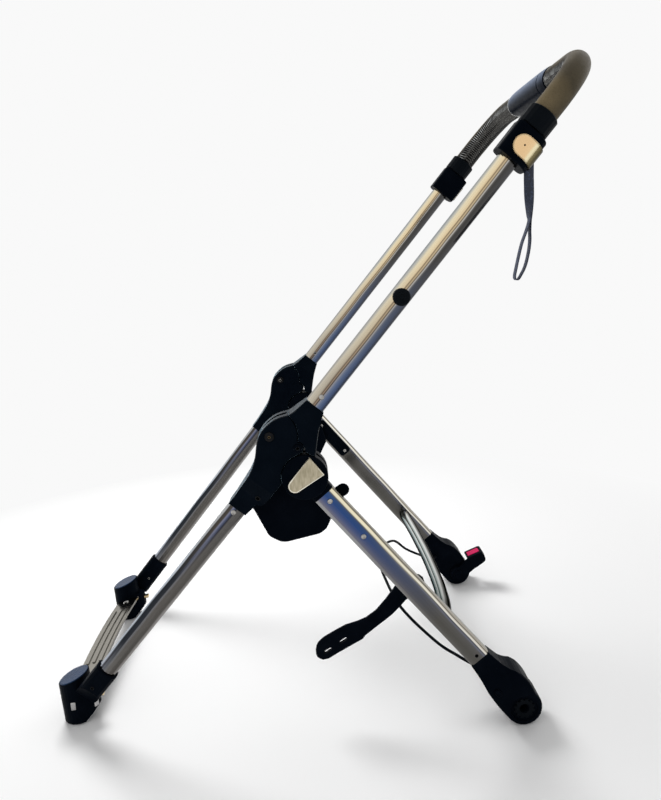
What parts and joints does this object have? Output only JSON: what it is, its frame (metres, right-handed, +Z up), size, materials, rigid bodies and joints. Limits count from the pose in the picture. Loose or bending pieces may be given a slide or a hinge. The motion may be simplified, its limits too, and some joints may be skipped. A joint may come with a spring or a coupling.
{
  "type": "stroller chassis",
  "caption": "Folding push-chair chassis with hinged side legs, a sliding U-shaped handle, foot brake, fold latch and hand strap, shown without wheels or seat.",
  "frame": {"origin": "middle of the bounding box, on the floor plane that the four lower housings stand on", "axes": "+Z up, +Y towards the handle and the person who pushes, -Y towards the front housings, +X across to the left-hand side of the chassis"},
  "size_m": [0.4874, 0.7616, 0.8884],
  "materials": {
    "polished_tube": "polished bright tube",
    "satin_aluminium": "satin extruded aluminium",
    "black_plastic": "fine-grained black moulding",
    "gloss_cap": "glossy dark blue-grey moulding",
    "zinc_steel": "zinc-plated steel",
    "champagne_metal": "satin champagne-gold anodised",
    "brown_leatherette": "stitched dark brown leatherette",
    "satin_black": "satin black sleeve",
    "crimson_insert": "soft crimson tread insert",
    "black_rubber": "matte black rubber",
    "black_webbing": "woven black webbing"
  },
  "bodies": {
    "front_frame": {"hinge_body_left": "black_plastic", "hinge_body_right": "black_plastic", "fold_pivot_bolt_left": "zinc_steel", "fold_pivot_bolt_right": "zinc_steel", "rear_pivot_bolt_left": "zinc_steel", "rear_pivot_bolt_right": "zinc_steel", "fold_lock_bolt_left": "black_plastic", "fold_lock_bolt_right": "black_plastic", "hinge_guard_left": "black_plastic", "hinge_guard_right": "black_plastic", "front_leg_tube_left": "polished_tube", "front_leg_tube_right": "polished_tube", "front_socket_left": "black_plastic", "front_socket_right": "black_plastic", "socket_cap_left": "gloss_cap", "socket_cap_right": "gloss_cap", "foot_plate": "satin_aluminium"},
    "push_frame": {"push_knuckle_left": "black_plastic", "push_knuckle_right": "black_plastic", "push_tube_left": "polished_tube", "push_tube_right": "polished_tube", "tube_bumper_left": "black_rubber", "tube_bumper_right": "black_rubber", "collar_left": "black_plastic", "collar_right": "black_plastic", "wrist_strap": "black_webbing"},
    "handle": {"handle_bar": "polished_tube", "grip_left": "brown_leatherette", "grip_right": "brown_leatherette", "grip_ring_left": "black_plastic", "grip_ring_right": "black_plastic", "handle_sleeve": "satin_black"},
    "rear_frame": {"rear_knuckle_left": "black_plastic", "rear_knuckle_right": "black_plastic", "badge_plate_left": "champagne_metal", "badge_plate_right": "champagne_metal", "rear_leg_tube_left": "polished_tube", "rear_leg_tube_right": "polished_tube", "rear_leg_bracket_left": "black_plastic", "rear_leg_bracket_right": "black_plastic", "rear_hub_left": "black_plastic", "rear_hub_right": "black_plastic", "hub_ring_left": "black_plastic", "hub_ring_right": "black_plastic", "rear_bow": "polished_tube", "brake_cable": "black_rubber", "latch_pin": "zinc_steel"},
    "fold_trigger_left": {"fold_trigger_left": "champagne_metal"},
    "fold_trigger_right": {"fold_trigger_right": "champagne_metal"},
    "brake_pedal": {"brake_pedal": "black_plastic", "pedal_insert": "crimson_insert"},
    "latch_arm": {"latch_arm": "black_plastic"},
    "safety_catch": {"safety_catch": "black_plastic"},
    "castor_release_left": {"castor_release_left": "champagne_metal"},
    "castor_release_right": {"castor_release_right": "champagne_metal"},
    "axle_release_left": {"axle_release_left": "black_plastic"},
    "axle_release_right": {"axle_release_right": "black_plastic"}
  },
  "joints": [
    {"name": "fold", "type": "hinge", "parent": "front_frame", "child": "push_frame", "pos_m": [0, -0.0487, 0.4271], "axis": [1, 0, 0], "range_deg": [0, 180]},
    {"name": "rear_leg_fold", "type": "hinge", "parent": "front_frame", "child": "rear_frame", "pos_m": [0, -0.00677, 0.37105], "axis": [1, 0, 0], "range_deg": [-80, 0]},
    {"name": "handle_slide", "type": "slide", "parent": "push_frame", "child": "handle", "axis": [0, 0.6514, 0.7587], "range_m": [0, 0.09]},
    {"name": "fold_trigger_left_slide", "type": "slide", "parent": "push_frame", "child": "fold_trigger_left", "axis": [0, 0.6514, 0.7587], "range_m": [0, 0.006], "stiffness_N_per_m": 400, "springref_m": -0.002},
    {"name": "fold_trigger_right_slide", "type": "slide", "parent": "push_frame", "child": "fold_trigger_right", "axis": [0, 0.6514, 0.7587], "range_m": [0, 0.006], "stiffness_N_per_m": 400, "springref_m": -0.002},
    {"name": "brake_pedal_hinge", "type": "hinge", "parent": "rear_frame", "child": "brake_pedal", "pos_m": [-0.1895, 0.27578, 0.02584], "axis": [-1, 0, 0], "range_deg": [0, 22]},
    {"name": "latch_arm_hinge", "type": "hinge", "parent": "rear_frame", "child": "latch_arm", "pos_m": [0.182, 0.13859, 0.19345], "axis": [1, 0, 0], "range_deg": [-20, 35]},
    {"name": "safety_catch_hinge", "type": "hinge", "parent": "front_frame", "child": "safety_catch", "pos_m": [0.1955, 0.0144, 0.3236], "axis": [1, 0, 0], "range_deg": [-10, 25], "stiffness_Nm_per_rad": 0.05},
    {"name": "castor_release_left_press", "type": "slide", "parent": "front_frame", "child": "castor_release_left", "axis": [0, -0.9986, -0.0523], "range_m": [0, 0.002], "stiffness_N_per_m": 500, "springref_m": -0.001},
    {"name": "castor_release_right_press", "type": "slide", "parent": "front_frame", "child": "castor_release_right", "axis": [0, -0.9986, -0.0523], "range_m": [0, 0.002], "stiffness_N_per_m": 500, "springref_m": -0.001},
    {"name": "axle_release_left_press", "type": "slide", "parent": "rear_frame", "child": "axle_release_left", "axis": [-1, 0, 0], "range_m": [0, 0.002], "stiffness_N_per_m": 500, "springref_m": -0.001},
    {"name": "axle_release_right_press", "type": "slide", "parent": "rear_frame", "child": "axle_release_right", "axis": [1, 0, 0], "range_m": [0, 0.002], "stiffness_N_per_m": 500, "springref_m": -0.001}
  ],
  "couplings": [
    {"joint": "rear_leg_fold", "follows": "fold", "ratio": -0.4444}
  ]
}
